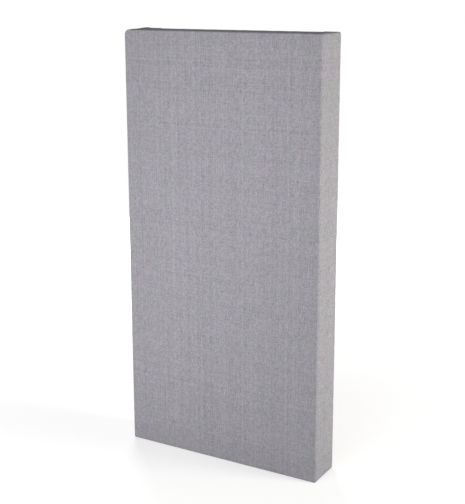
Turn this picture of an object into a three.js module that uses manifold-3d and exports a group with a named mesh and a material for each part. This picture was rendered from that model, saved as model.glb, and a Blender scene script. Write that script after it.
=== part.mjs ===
// Fabric-wrapped acoustic foam panel, in millimetres, +Z up.
// The front faces -Y and +X is to the right of someone who looks at the front. Heights start at
// the face that the panel stands on. While the pieces are made, Y is 0 at the flat border of the
// cloth's front and grows towards the wall. The last group moves the whole panel along Y, so that
// the origin is at the middle of the bottom of its box.

import * as THREE from 'three';
import { mergeVertices } from 'three/addons/utils/BufferGeometryUtils.js';
import Module from 'manifold-3d';

const wasm = await Module();
wasm.setup();

// The panel
const panelWidth = 600;
const panelHeight = 1200;
const seatGap = 0.3;
const cutOverrun = 5;

// Cloth cover
const clothThickness = 1;
const lapWidth = 16;
const edgeRadius = 4;
const cornerRadius = 5;
const softCornerRadius = 14;
const leastRadius = 2;
const crownHeight = 2;
const crownShares = [0.3, 0.6, 0.85];
const cornerSteps = 3;
const edgeSteps = 3;
const hemSteps = 2;
const sideStationShares = [0.2, 0.4, 0.6, 0.8];
const topStationShares = [0.3, 0.7];

// Folded corners of the cloth
const foldFrontWidth = 4;
const foldBackWidth = 42;
const foldRun = 1.2;
const foldRise = 0.9;
const tuckRise = 2;
const foldDepthShares = [0, 0.12, 0.5, 0.8, 1];
const foldRiseShares = [0, 1, 1, 1, 1];
const tuckRiseShares = [0, 0, 0.3, 1, 0.7];

// Foam
const frontFoamThickness = 50;
const rearFoamThickness = 40;

// Frame boards
const boardThickness = 18;
const rebateDepth = 6;
const housingDepth = 6;

// Battens across the back
const battenThickness = 18;
const battenHeight = 45;
const hangingBattenHeight = 70;
const battenEndDistance = 135;

// Gussets
const gussetThickness = 12;
const gussetLeg = 70;
const gussetTip = 8;

// Wood screws, all of one size under the cloth
const screwLength = 40;
const screwShankRadius = 2;
const screwHeadRadius = 4;
const screwHeadHeight = 2.4;
const screwTipLength = 5;
const screwSink = 1.5;
const screwSides = 10;
const cornerScrewShares = [0.25, 0.75];
const railScrewShare = 0.62;
const gussetScrewShare = 0.5;

// Screws of the keyhole plates
const plateScrewLength = 14;
const plateScrewShankRadius = 1.5;
const plateScrewHeadRadius = 2.9;
const plateScrewHeadHeight = 1.6;
const plateScrewTipLength = 3;
const plateScrewSink = 0.2;
const plateScrewEndDistance = 6;

// Cross recess, as shares of the screw head's radius
const recessSpanShare = 1.1;
const recessWidthShare = 0.3;
const recessDepthShare = 0.4;

// Keyhole plates, let into the hanging batten
const plateSideDistance = 100;
const plateWidth = 18;
const plateHeight = 52;
const plateThickness = 1.5;
const plateCornerRadius = 4;
const keyholeEntryRadius = 5;
const keyholeSlotRadius = 2.5;
const keyholeTravel = 14;
const pocketWidth = 12;
const pocketDepth = 8;
const keyholeSteps = 5;

// Bumpers on the gussets
const bumperRadius = 7;
const bumperHeight = 5;
const bumperBevel = 1.5;
const bumperCornerDistance = 22;
const bumperSides = 16;

// Sizes and places that follow from the ones above
const frameInset = clothThickness + seatGap;
const frameDepth = frontFoamThickness + seatGap + rearFoamThickness + seatGap + battenThickness;
const coverDepth = frameDepth + 2 * frameInset;
const frameFront = frameInset;
const frameBack = frameFront + frameDepth;
const frameHalfWidth = panelWidth / 2 - frameInset;
const frameBottom = frameInset;
const frameTop = panelHeight - frameInset;
const bayHalfWidth = frameHalfWidth - boardThickness;
const bayBottom = frameBottom + boardThickness;
const bayTop = frameTop - boardThickness;
const frontFoamBack = frameFront + frontFoamThickness;
const rearFoamFront = frontFoamBack + seatGap;
const rearFoamBack = rearFoamFront + rearFoamThickness;
const battenFront = frameBack - battenThickness;
const gussetMiddle = frameBack - gussetThickness / 2;
const keyholeEntryDrop = keyholeTravel / 2;
const plateHalfSpacing = panelWidth / 2 - plateSideDistance;
const plateScrewRise = plateHeight / 2 - plateScrewEndDistance;
const crownInset = frameInset + boardThickness;
const bumperBase = frameBack + seatGap;

const battens = [
  { name: 'hanging_batten', middle: panelHeight - battenEndDistance, height: hangingBattenHeight },
  { name: 'middle_batten', middle: panelHeight / 2, height: battenHeight },
  { name: 'lower_batten', middle: battenEndDistance, height: battenHeight },
];

const corners = [
  { name: 'top_left', side: -1, end: 1 },
  { name: 'top_right', side: 1, end: 1 },
  { name: 'bottom_left', side: -1, end: -1 },
  { name: 'bottom_right', side: 1, end: -1 },
];

const materials = {
  cloth: new THREE.MeshStandardMaterial({ color: '#a09ea3', roughness: 0.95, metalness: 0 }),
  foam: new THREE.MeshStandardMaterial({ color: '#45464a', roughness: 1, metalness: 0 }),
  plywood: new THREE.MeshStandardMaterial({ color: '#c8a97c', roughness: 0.75, metalness: 0 }),
  timber: new THREE.MeshStandardMaterial({ color: '#d3b58a', roughness: 0.7, metalness: 0 }),
  steel: new THREE.MeshStandardMaterial({ color: '#b4b7bb', roughness: 0.35, metalness: 1 }),
  rubber: new THREE.MeshStandardMaterial({ color: '#222224', roughness: 0.8, metalness: 0 }),
};

// Cutting and joining

function solidOf(geometry) {
  const bare = geometry.clone();
  bare.deleteAttribute('normal');
  bare.deleteAttribute('uv');
  const merged = mergeVertices(bare);
  const vertProperties = new Float32Array(merged.attributes.position.array);
  const triVerts = new Uint32Array(merged.index.array);
  return new wasm.Manifold(new wasm.Mesh({ numProp: 3, vertProperties, triVerts }));
}

function geometryOf(solid) {
  const mesh = solid.getMesh();
  const geometry = new THREE.BufferGeometry();
  geometry.setAttribute('position', new THREE.BufferAttribute(mesh.vertProperties, 3));
  geometry.setIndex(new THREE.BufferAttribute(mesh.triVerts, 1));
  geometry.computeVertexNormals();
  return geometry;
}

function joined(solids) {
  return solids.reduce((whole, solid) => whole.add(solid));
}

// A box between two opposite corners, each given as [x, y, z].
function blockGeometry(first, second) {
  const box = new THREE.Box3();
  box.expandByPoint(new THREE.Vector3(...first));
  box.expandByPoint(new THREE.Vector3(...second));
  const size = box.getSize(new THREE.Vector3());
  const middle = box.getCenter(new THREE.Vector3());
  return new THREE.BoxGeometry(size.x, size.y, size.z).translate(middle.x, middle.y, middle.z);
}

function block(first, second) {
  return solidOf(blockGeometry(first, second));
}

// A flat shape, drawn in X and Z, made into a slab from Y = 0 back to Y = -depth.
function slabOf(shape, depth, curveSegments) {
  const slab = new THREE.ExtrudeGeometry(shape, { depth, bevelEnabled: false, curveSegments });
  return slab.rotateX(Math.PI / 2);
}

// The pillow shape of the cloth: rings of points round the panel, joined one to the next

// Height of the folded corner at a share of the panel's depth, read between the listed shares.
function readAt(depthShare, heightShares) {
  const last = foldDepthShares.length - 1;
  for (let i = 0; i < last; i += 1) {
    const from = foldDepthShares[i];
    const to = foldDepthShares[i + 1];
    if (depthShare <= to) {
      const part = (depthShare - from) / (to - from);
      return THREE.MathUtils.lerp(heightShares[i], heightShares[i + 1], part);
    }
  }
  return heightShares[last];
}

// One corner's arc. fold is 1 where the arc meets the top or bottom and 0 where it meets a side.
function cornerArc(side, end, inset) {
  const soft = side < 0 && end > 0;
  const radius = Math.max((soft ? softCornerRadius : cornerRadius) - inset, leastRadius);
  const middleX = side * (panelWidth / 2 - inset - radius);
  const middleZ = end > 0 ? panelHeight - inset - radius : inset + radius;
  const points = [];
  for (let step = 0; step <= cornerSteps; step += 1) {
    const angle = (step / cornerSteps) * Math.PI / 2;
    points.push({
      x: middleX + side * radius * Math.cos(angle),
      z: middleZ + end * radius * Math.sin(angle),
      fold: step / cornerSteps,
      end,
      tucked: soft,
    });
  }
  return points;
}

// Points between two corners: along the top or bottom, with the edges of both folded corners.
function foldedSide(from, to, foldWidth) {
  const run = Math.sign(to.x - from.x);
  const firstFold = from.x + run * foldWidth;
  const lastFold = to.x - run * foldWidth;
  const flat = { z: from.z, fold: 0, end: from.end, tucked: false };
  const points = [
    { ...from, x: firstFold },
    { ...flat, x: firstFold + run * foldRun },
  ];
  for (const share of topStationShares) {
    points.push({ ...flat, x: THREE.MathUtils.lerp(firstFold, lastFold, share) });
  }
  points.push({ ...flat, x: lastFold - run * foldRun });
  points.push({ ...to, x: lastFold });
  return points;
}

function plainSide(from, to) {
  return sideStationShares.map((share) => ({
    ...from,
    z: THREE.MathUtils.lerp(from.z, to.z, share),
  }));
}

// The panel's outline, taken in by inset, anticlockwise as the front is seen.
function outline(inset, foldWidth) {
  const bottomRight = cornerArc(1, -1, inset).reverse();
  const topRight = cornerArc(1, 1, inset);
  const topLeft = cornerArc(-1, 1, inset).reverse();
  const bottomLeft = cornerArc(-1, -1, inset);
  return [
    ...bottomRight,
    ...plainSide(bottomRight[cornerSteps], topRight[0]),
    ...topRight,
    ...foldedSide(topRight[cornerSteps], topLeft[0], foldWidth),
    ...topLeft,
    ...plainSide(topLeft[cornerSteps], bottomLeft[0]),
    ...bottomLeft,
    ...foldedSide(bottomLeft[cornerSteps], bottomRight[0], foldWidth),
  ];
}

// A ring of the cloth. tilt is the way the cloth faces there: 0 outwards, a quarter turn backwards.
// The folds stand up from the top and from the lap. Under the panel its weight presses them flat.
function clothRing(inset, y, tilt, depthShare, folded) {
  const foldWidth = THREE.MathUtils.lerp(foldFrontWidth, foldBackWidth, depthShare);
  return outline(inset, foldWidth).map((point) => {
    const tuck = point.tucked ? tuckRise * readAt(depthShare, tuckRiseShares) : 0;
    const rise = folded ? point.fold * (foldRise * readAt(depthShare, foldRiseShares) + tuck) : 0;
    const up = point.end > 0 ? rise * Math.cos(tilt) : 0;
    const back = Math.min(rise, foldRise) * Math.sin(tilt);
    return new THREE.Vector3(point.x, y + back, point.z + up);
  });
}

// From the middle of the front to the start of the sides, on a surface taken in by inset.
function frontRings(inset) {
  const middle = panelHeight / 2;
  const rings = [[new THREE.Vector3(0, inset - crownHeight, middle)]];
  for (const share of crownShares) {
    const bulge = crownHeight * (1 - share ** 2) ** 2;
    rings.push(outline(crownInset, foldFrontWidth).map((point) => (
      new THREE.Vector3(point.x * share, inset - bulge, middle + (point.z - middle) * share)
    )));
  }
  rings.push(clothRing(crownInset, inset, 0, 0, false));
  const radius = edgeRadius - inset;
  for (let step = 0; step <= edgeSteps; step += 1) {
    const angle = (step / edgeSteps - 1) * Math.PI / 2;
    const ringInset = edgeRadius - radius * Math.cos(angle);
    rings.push(clothRing(ringInset, edgeRadius + radius * Math.sin(angle), 0, 0, false));
  }
  return rings;
}

// Round the back edge and in along the lap, on a surface taken in by inset.
function backRings(inset, folded) {
  const radius = edgeRadius - inset;
  const rings = [];
  for (let step = 0; step <= hemSteps; step += 1) {
    const angle = (step / hemSteps) * Math.PI / 2;
    const ringInset = edgeRadius - radius * Math.cos(angle);
    const y = coverDepth - edgeRadius + radius * Math.sin(angle);
    rings.push(clothRing(ringInset, y, angle, 1, folded));
  }
  rings.push(clothRing(lapWidth, coverDepth - inset, Math.PI / 2, 1, folded));
  return rings;
}

// Skins rings into one closed surface. A ring of one point closes an end.
function loft(rings) {
  const positions = rings.flat().flatMap((point) => point.toArray());
  const index = [];
  let start = 0;
  for (let i = 0; i < rings.length - 1; i += 1) {
    const here = rings[i].length;
    const next = rings[i + 1].length;
    const count = Math.max(here, next);
    for (let j = 0; j < count; j += 1) {
      const a = start + (j % here);
      const b = start + ((j + 1) % here);
      const c = start + here + (j % next);
      const d = start + here + ((j + 1) % next);
      if (next > 1) {
        index.push(a, c, d);
      }
      if (here > 1) {
        index.push(a, next > 1 ? d : c, b);
      }
    }
    start += here;
  }
  const geometry = new THREE.BufferGeometry();
  geometry.setAttribute('position', new THREE.Float32BufferAttribute(positions, 3));
  geometry.setIndex(index);
  geometry.computeVertexNormals();
  return geometry;
}

// The cloth is one sheet: its outer face, the edge of the lap, and its inner face back again.
function fabricCover() {
  const outer = frontRings(0);
  const sideStart = edgeRadius;
  const sideEnd = coverDepth - edgeRadius;
  for (const share of foldDepthShares.slice(1, -1)) {
    const y = THREE.MathUtils.lerp(sideStart, sideEnd, share);
    outer.push(clothRing(0, y, 0, share, true));
  }
  outer.push(...backRings(0, true));
  const inner = frontRings(clothThickness);
  inner.push(...backRings(clothThickness, false));
  return loft([...outer, ...inner.reverse()]);
}

// The space that the frame and foam fill, just inside the cloth.
function filling() {
  const backMiddle = [new THREE.Vector3(0, frameBack, panelHeight / 2)];
  return solidOf(loft([...frontRings(frameInset), ...backRings(frameInset, false), backMiddle]));
}

// Screws: each has a mesh, and a hole for the pieces that it goes through

const woodScrew = {
  length: screwLength,
  shank: screwShankRadius,
  head: screwHeadRadius,
  headHeight: screwHeadHeight,
  tip: screwTipLength,
  sink: screwSink,
};

const plateScrew = {
  length: plateScrewLength,
  shank: plateScrewShankRadius,
  head: plateScrewHeadRadius,
  headHeight: plateScrewHeadHeight,
  tip: plateScrewTipLength,
  sink: plateScrewSink,
};

// The face of the head is at Y = 0 and the point is at Y = length.
function screwGeometry(size) {
  const profile = [
    new THREE.Vector2(0, 0),
    new THREE.Vector2(size.head, 0),
    new THREE.Vector2(size.shank, size.headHeight),
    new THREE.Vector2(size.shank, size.length - size.tip),
    new THREE.Vector2(0, size.length),
  ];
  const body = solidOf(new THREE.LatheGeometry(profile, screwSides));
  const span = size.head * recessSpanShare / 2;
  const width = size.head * recessWidthShare / 2;
  const depth = size.head * recessDepthShare;
  const across = block([-span, -cutOverrun, -width], [span, depth, width]);
  const along = block([-width, -cutOverrun, -span], [width, depth, span]);
  return geometryOf(body.subtract(joined([across, along])));
}

function screwHoleGeometry(size) {
  const profile = [
    new THREE.Vector2(0, -cutOverrun),
    new THREE.Vector2(size.head + seatGap, -cutOverrun),
    new THREE.Vector2(size.head + seatGap, 0),
    new THREE.Vector2(size.shank + seatGap, size.headHeight),
    new THREE.Vector2(size.shank + seatGap, size.length - size.tip + seatGap),
    new THREE.Vector2(0, size.length + seatGap),
  ];
  return new THREE.LatheGeometry(profile, screwSides);
}

const screwMeshes = [];
const screwHoles = [];
const yAxis = new THREE.Vector3(0, 1, 0);

// place is where the surface is, and direction the way that the screw is driven.
function driveScrew(name, size, place, direction) {
  const way = new THREE.Vector3(...direction);
  const mesh = new THREE.Mesh(screwGeometry(size), materials.steel);
  mesh.name = name;
  mesh.position.set(...place).addScaledVector(way, size.sink);
  mesh.quaternion.setFromUnitVectors(yAxis, way);
  mesh.updateMatrix();
  screwMeshes.push(mesh);
  screwHoles.push(solidOf(screwHoleGeometry(size).applyMatrix4(mesh.matrix)));
}

function driveFrameScrews() {
  for (const { name, side, end } of corners) {
    const outerX = side * frameHalfWidth;
    const outerZ = end > 0 ? frameTop : frameBottom;
    cornerScrewShares.forEach((share, i) => {
      const y = THREE.MathUtils.lerp(frameFront, frameBack, share);
      const z = outerZ - end * boardThickness * railScrewShare;
      driveScrew(`corner_screw_${name}_${i + 1}`, woodScrew, [outerX, y, z], [-side, 0, 0]);
    });
    const reach = boardThickness + gussetLeg * gussetScrewShare;
    const stilePlace = [outerX, gussetMiddle, outerZ - end * reach];
    driveScrew(`gusset_screw_${name}_stile`, woodScrew, stilePlace, [-side, 0, 0]);
    const railPlace = [outerX - side * reach, gussetMiddle, outerZ];
    driveScrew(`gusset_screw_${name}_rail`, woodScrew, railPlace, [0, 0, -end]);
  }
  for (const batten of battens) {
    for (const [word, side] of [['left', -1], ['right', 1]]) {
      const place = [side * frameHalfWidth, frameBack - battenThickness / 2, batten.middle];
      const name = batten.name.replace('batten', `batten_screw_${word}`);
      driveScrew(name, woodScrew, place, [-side, 0, 0]);
    }
  }
}

function drivePlateScrews() {
  for (const [word, side] of [['left', -1], ['right', 1]]) {
    for (const [level, end] of [['upper', 1], ['lower', -1]]) {
      const z = battens[0].middle + end * plateScrewRise;
      const place = [side * plateHalfSpacing, frameBack, z];
      driveScrew(`plate_screw_${word}_${level}`, plateScrew, place, [0, -1, 0]);
    }
  }
}

// Frame boards, battens and gussets

// Each end of a stile is rebated for a rail, and its inner back edge is housed for the battens.
function stile(side, space, holes) {
  const inner = side * bayHalfWidth;
  const shoulder = inner + side * rebateDepth;
  const seat = inner + side * housingDepth;
  const clear = inner - side * cutOverrun;
  const board = block([side * frameHalfWidth, frameFront, frameBottom], [inner, frameBack, frameTop]);
  const cuts = [
    block(
      [shoulder, frameFront - cutOverrun, frameBottom - cutOverrun],
      [clear, frameBack + cutOverrun, bayBottom + seatGap],
    ),
    block(
      [shoulder, frameFront - cutOverrun, bayTop - seatGap],
      [clear, frameBack + cutOverrun, frameTop + cutOverrun],
    ),
  ];
  for (const { middle, height } of battens) {
    cuts.push(block(
      [seat, battenFront - seatGap, middle - height / 2 - seatGap],
      [clear, frameBack + cutOverrun, middle + height / 2 + seatGap],
    ));
  }
  return geometryOf(board.subtract(joined(cuts)).intersect(space).subtract(holes));
}

function rail(bottom, space, holes) {
  const halfLength = bayHalfWidth + rebateDepth - seatGap;
  const board = block(
    [-halfLength, frameFront, bottom],
    [halfLength, frameBack, bottom + boardThickness],
  );
  return geometryOf(board.intersect(space).subtract(holes));
}

function battenSolid({ middle, height }, holes) {
  const halfLength = bayHalfWidth + housingDepth - seatGap;
  const board = block(
    [-halfLength, battenFront, middle - height / 2],
    [halfLength, frameBack, middle + height / 2],
  );
  return board.subtract(holes);
}

// A triangle with blunt tips that fills a corner of the frame, flush with its back.
function gusset({ side, end }, holes) {
  const leg = gussetLeg - seatGap;
  const outlinePoints = [[0, 0], [leg, 0], [leg, gussetTip], [gussetTip, leg], [0, leg]];
  const shape = new THREE.Shape(outlinePoints.map(([x, z]) => new THREE.Vector2(-side * x, -end * z)));
  const cornerX = side * (bayHalfWidth - seatGap);
  const cornerZ = end > 0 ? bayTop - seatGap : bayBottom + seatGap;
  const slab = slabOf(shape, gussetThickness, 1).translate(cornerX, frameBack, cornerZ);
  return geometryOf(solidOf(slab).subtract(holes));
}

function frontFoam(space) {
  const halfWidth = bayHalfWidth - seatGap;
  const slab = block(
    [-halfWidth, -crownHeight - cutOverrun, bayBottom + seatGap],
    [halfWidth, frontFoamBack, bayTop - seatGap],
  );
  return geometryOf(slab.intersect(space));
}

function rearFoam() {
  const halfWidth = bayHalfWidth - seatGap;
  return blockGeometry(
    [-halfWidth, rearFoamFront, bayBottom + seatGap],
    [halfWidth, rearFoamBack, bayTop - seatGap],
  );
}

// Keyhole plates and the recesses that they are let into

function roundedRectangle(width, height, radius) {
  const x = width / 2 - radius;
  const y = height / 2 - radius;
  const shape = new THREE.Shape();
  shape.absarc(x, -y, radius, -Math.PI / 2, 0);
  shape.absarc(x, y, radius, 0, Math.PI / 2);
  shape.absarc(-x, y, radius, Math.PI / 2, Math.PI);
  shape.absarc(-x, -y, radius, Math.PI, Math.PI * 1.5);
  return shape;
}

// The wall screw's head goes in at the round hole, and its neck then slides up the slot.
function keyhole() {
  const slotAngle = Math.acos(keyholeSlotRadius / keyholeEntryRadius);
  const hole = new THREE.Path();
  hole.absarc(0, -keyholeEntryDrop, keyholeEntryRadius, Math.PI - slotAngle, slotAngle + Math.PI * 2);
  hole.absarc(0, keyholeEntryDrop, keyholeSlotRadius, 0, Math.PI);
  return hole;
}

function keyholePlate() {
  const shape = roundedRectangle(plateWidth, plateHeight, plateCornerRadius);
  shape.holes.push(keyhole());
  return slabOf(shape, plateThickness, keyholeSteps);
}

// Room for one plate, and behind it for the head of the wall screw.
function plateRecess(x, z) {
  const rim = roundedRectangle(
    plateWidth + 2 * seatGap,
    plateHeight + 2 * seatGap,
    plateCornerRadius + seatGap,
  );
  const pocketHeight = keyholeTravel + pocketWidth;
  const pocket = roundedRectangle(pocketWidth, pocketHeight, pocketWidth / 2 - seatGap);
  const recessDepth = plateThickness + seatGap;
  const solids = [
    slabOf(rim, recessDepth + cutOverrun, keyholeSteps),
    slabOf(pocket, recessDepth + pocketDepth + cutOverrun, keyholeSteps),
  ];
  return joined(solids.map((slab) => solidOf(slab.translate(x, frameBack + cutOverrun, z))));
}

function hangingBatten(batten, holes) {
  const recesses = joined([-1, 1].map((side) => plateRecess(side * plateHalfSpacing, batten.middle)));
  return geometryOf(battenSolid(batten, holes).subtract(recesses));
}

// Bumpers

function bumper() {
  const profile = [
    new THREE.Vector2(0, 0),
    new THREE.Vector2(bumperRadius, 0),
    new THREE.Vector2(bumperRadius, bumperHeight - bumperBevel),
    new THREE.Vector2(bumperRadius - bumperBevel, bumperHeight),
    new THREE.Vector2(0, bumperHeight),
  ];
  return new THREE.LatheGeometry(profile, bumperSides);
}

// The assembly

const pieces = new THREE.Group();

function addPiece(name, geometry, material, place = [0, 0, 0]) {
  const mesh = new THREE.Mesh(geometry, material);
  mesh.name = name;
  mesh.position.set(...place);
  pieces.add(mesh);
  return mesh;
}

driveFrameScrews();
drivePlateScrews();
const allHoles = joined(screwHoles);
const fillingSpace = filling();

addPiece('fabric_cover', fabricCover(), materials.cloth);
addPiece('foam_front_slab', frontFoam(fillingSpace), materials.foam);
addPiece('foam_rear_slab', rearFoam(), materials.foam);
addPiece('frame_left_stile', stile(-1, fillingSpace, allHoles), materials.plywood);
addPiece('frame_right_stile', stile(1, fillingSpace, allHoles), materials.plywood);
addPiece('frame_bottom_rail', rail(frameBottom, fillingSpace, allHoles), materials.plywood);
addPiece('frame_top_rail', rail(bayTop, fillingSpace, allHoles), materials.plywood);

for (const batten of battens) {
  const hanging = batten === battens[0];
  const geometry = hanging ? hangingBatten(batten, allHoles) : geometryOf(battenSolid(batten, allHoles));
  addPiece(batten.name, geometry, materials.timber);
}

for (const [word, side] of [['left', -1], ['right', 1]]) {
  const place = [side * plateHalfSpacing, frameBack, battens[0].middle];
  const blank = solidOf(keyholePlate().translate(...place));
  addPiece(`keyhole_plate_${word}`, geometryOf(blank.subtract(allHoles)), materials.steel);
}

for (const corner of corners) {
  addPiece(`gusset_${corner.name}`, gusset(corner, allHoles), materials.plywood);
  const x = corner.side * (bayHalfWidth - bumperCornerDistance);
  const z = corner.end > 0 ? bayTop - bumperCornerDistance : bayBottom + bumperCornerDistance;
  addPiece(`bumper_${corner.name}`, bumper(), materials.rubber, [x, bumperBase, z]);
}

pieces.add(...screwMeshes);
pieces.position.y = (crownHeight - bumperBase - bumperHeight) / 2;

const acousticPanel = new THREE.Group();
acousticPanel.add(pieces);

export default acousticPanel;
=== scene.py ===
# Fabric-wrapped acoustic foam panel: its looks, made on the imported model.
# Metres, +Z up, front to -Y.

import math
import random
from collections import namedtuple

import bmesh
import bpy
from mathutils import Matrix, Vector, noise


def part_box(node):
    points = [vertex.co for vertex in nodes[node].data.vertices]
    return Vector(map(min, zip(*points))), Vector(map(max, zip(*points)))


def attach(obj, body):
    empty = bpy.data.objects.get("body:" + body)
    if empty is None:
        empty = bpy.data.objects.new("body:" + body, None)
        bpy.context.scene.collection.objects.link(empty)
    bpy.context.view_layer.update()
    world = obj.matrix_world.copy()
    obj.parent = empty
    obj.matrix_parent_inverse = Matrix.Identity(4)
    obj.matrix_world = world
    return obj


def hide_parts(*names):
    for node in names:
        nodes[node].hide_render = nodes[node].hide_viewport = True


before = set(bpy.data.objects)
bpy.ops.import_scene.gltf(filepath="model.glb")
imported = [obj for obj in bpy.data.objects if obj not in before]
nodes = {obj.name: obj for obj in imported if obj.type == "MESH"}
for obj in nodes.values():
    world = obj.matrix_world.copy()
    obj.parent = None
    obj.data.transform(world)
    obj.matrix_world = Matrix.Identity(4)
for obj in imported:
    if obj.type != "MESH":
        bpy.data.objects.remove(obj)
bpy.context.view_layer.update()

MM = 0.001

# The camera, solved from the seven corners of the panel that the photograph shows
CAMERA_PLACE = (1.4162, -2.3983, 1.3124)
CAMERA_AZIMUTH = 30.398
CAMERA_PITCH = 12.973
CAMERA_ROLL = -0.135
CAMERA_LENS = 74.147
CAMERA_SENSOR = 36.0
IMAGE_HEIGHT_PX = 504
OPTICAL_AXIS_ROW_PX = 226


def make_camera():
    data = bpy.data.cameras.new("camera")
    data.lens = CAMERA_LENS
    data.sensor_width = CAMERA_SENSOR
    data.shift_y = (OPTICAL_AXIS_ROW_PX - IMAGE_HEIGHT_PX / 2) / IMAGE_HEIGHT_PX
    camera = bpy.data.objects.new("camera", data)
    turn = Matrix.Rotation(math.radians(CAMERA_AZIMUTH), 4, "Z")
    tip = Matrix.Rotation(math.radians(90 - CAMERA_PITCH), 4, "X")
    roll = Matrix.Rotation(math.radians(CAMERA_ROLL), 4, "Z")
    camera.matrix_world = Matrix.Translation(CAMERA_PLACE) @ turn @ tip @ roll
    bpy.context.scene.collection.objects.link(camera)
    bpy.context.scene.camera = camera


make_camera()

# The panel's sizes, as in the part: the cloth's own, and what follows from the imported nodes
CLOTH_THICKNESS = 1 * MM
SEAT_GAP = 0.3 * MM
LAP_WIDTH = 16 * MM
EDGE_RADIUS = 4 * MM
CORNER_RADIUS = 5 * MM
SOFT_CORNER_RADIUS = 14 * MM
SOFT_BACK_RADIUS = 8 * MM
LEAST_RADIUS = 2 * MM
CROWN_HEIGHT = 2 * MM
BOARD_THICKNESS = 18 * MM
FOLD_FRONT_WIDTH = 4 * MM
FOLD_BACK_WIDTH = 42 * MM
FOLD_RISE = 0.9 * MM
TUCK_RISE = 1.8 * MM

frame_low, frame_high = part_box("frame_left_stile")
FRAME_INSET = CLOTH_THICKNESS + SEAT_GAP
HALF_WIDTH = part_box("fabric_cover")[1].x
TOP = frame_high.z + FRAME_INSET
FRONT = frame_low.y - FRAME_INSET
BACK = frame_high.y + FRAME_INSET
DEPTH = BACK - FRONT
CROWN_INSET = FRAME_INSET + BOARD_THICKNESS
FOLD_LINE = HALF_WIDTH - CORNER_RADIUS - FOLD_BACK_WIDTH

# How finely the cloth is meshed
CORNER_STEPS = 8
SIDE_POINTS = 118
END_POINTS = 36
EDGE_STEPS = 6
LAP_STEPS = 6
FLAT_RINGS = 3
DEPTH_SHARES = (
    0.02, 0.05, 0.09, 0.14, 0.21, 0.3, 0.4, 0.5,
    0.6, 0.68, 0.75, 0.82, 0.88, 0.93, 0.97, 1.0,
)

# The folded corners: where the fold starts and ends along the depth, and its rounded lip across
FOLD_START_SHARE = 0.12
TUCK_MIDDLE_SHARE = 0.84
TUCK_REACH_SHARE = 0.5
TUCK_WIDTH = 7 * MM
FLAP_SHARES = (0.06, 0.13, 0.2, 0.28, 0.37, 0.48, 0.6, 0.72)
LIP_WIDTH = 1.4 * MM
LIP_WIDTH_SHARE = 0.1
LIP_RUN_SHARES = (-1.6, -0.8, -0.3, -0.08, 0.0, 0.08, 0.25, 0.7, 1.4)
LIP_RISE_SHARES = (1.0, 1.06, 1.0, 0.72, 0.42, 0.14, -0.04, -0.06, 0.0)

# Staples on the lap, the pull that they put on the cloth, and the cloth's own slack
STAPLE_PITCH = 50 * MM
STAPLE_INSET = 11 * MM
STAPLE_WIDTH = 10 * MM
LAP_DIP = 0.18 * MM
LAP_SCALLOP = 1.1 * MM
SIDE_PULL = 0.3 * MM
SIDE_PULL_START_SHARE = 0.75
SLACK = 0.12 * MM
SLACK_LENGTH = 70 * MM
SLACK_SEED = 3

CLOTH_MAP = "cloth"

Point = namedtuple("Point", "x z side end level wrap lift tuck kind")


def smooth_step(share):
    share = min(max(share, 0.0), 1.0)
    return share * share * (3 - 2 * share)


def mix(first, second, share):
    return first + (second - first) * share


# The outline of the panel, as a ring of points that starts at the middle of the bottom right corner


def corner_arc(side, end, inset, depth_share):
    """From the upright side round to the top or bottom. The cloth here belongs to the side."""
    soft = side < 0 and end > 0
    soft_radius = mix(SOFT_CORNER_RADIUS, SOFT_BACK_RADIUS, smooth_step(depth_share))
    radius = max((soft_radius if soft else CORNER_RADIUS) - inset, LEAST_RADIUS)
    middle_x = side * (HALF_WIDTH - inset - radius)
    middle_z = TOP - inset - radius if end > 0 else inset + radius
    points = []
    for step in range(CORNER_STEPS + 1):
        share = step / CORNER_STEPS
        angle = share * math.pi / 2
        x = middle_x + side * radius * math.cos(angle)
        z = middle_z + end * radius * math.sin(angle)
        tuck = smooth_step(share) if soft else 0.0
        points.append(Point(x, z, side, end, middle_z, radius * angle, share, tuck, "side"))
    return points


def flap(corner, fold_width):
    """From the end of a corner's arc along the top or bottom to just past the fold's lip."""
    last = corner[-1]
    lip_width = min(LIP_WIDTH, LIP_WIDTH_SHARE * fold_width)
    points = []
    for share in FLAP_SHARES:
        run = share * fold_width
        tuck = last.tuck * smooth_step(1 - run / TUCK_WIDTH)
        x = last.x - last.side * run
        points.append(last._replace(x=x, wrap=last.wrap + run, lift=1.0, tuck=tuck))
    for run_share, rise_share in zip(LIP_RUN_SHARES, LIP_RISE_SHARES):
        run = fold_width + run_share * lip_width
        x = last.x - last.side * run
        points.append(last._replace(x=x, wrap=last.wrap + run, lift=rise_share, tuck=0.0))
    return points


def straight(first, last, count, kind):
    points = []
    for step in range(1, count + 1):
        share = step / (count + 1)
        x = mix(first.x, last.x, share)
        z = mix(first.z, last.z, share)
        points.append(Point(x, z, first.side, first.end, z, 0.0, 0.0, 0.0, kind))
    return points


def outline(inset, fold_width, depth_share):
    """All the points of a ring, counter-clockwise as seen from the front."""
    ways = [(side, end) for side in (-1, 1) for end in (-1, 1)]
    corners = {way: corner_arc(*way, inset, depth_share) for way in ways}
    half = CORNER_STEPS // 2
    ring = corners[1, -1][half::-1]
    ring += straight(corners[1, -1][0], corners[1, 1][0], SIDE_POINTS, "side")
    ring += corners[1, 1]
    for end, from_side in ((1, 1), (-1, -1)):
        near = flap(corners[from_side, end], fold_width)
        far = flap(corners[-from_side, end], fold_width)[::-1]
        near[-1] = near[-1]._replace(kind="end")
        ring += near
        ring += straight(near[-1], far[0], END_POINTS, "end")
        ring += far
        ring += corners[-from_side, end][::-1]
        if end > 0:
            ring += straight(corners[-1, 1][0], corners[-1, -1][0], SIDE_POINTS, "side")
            ring += corners[-1, -1]
    return ring[: len(ring) - half - 1]


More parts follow.
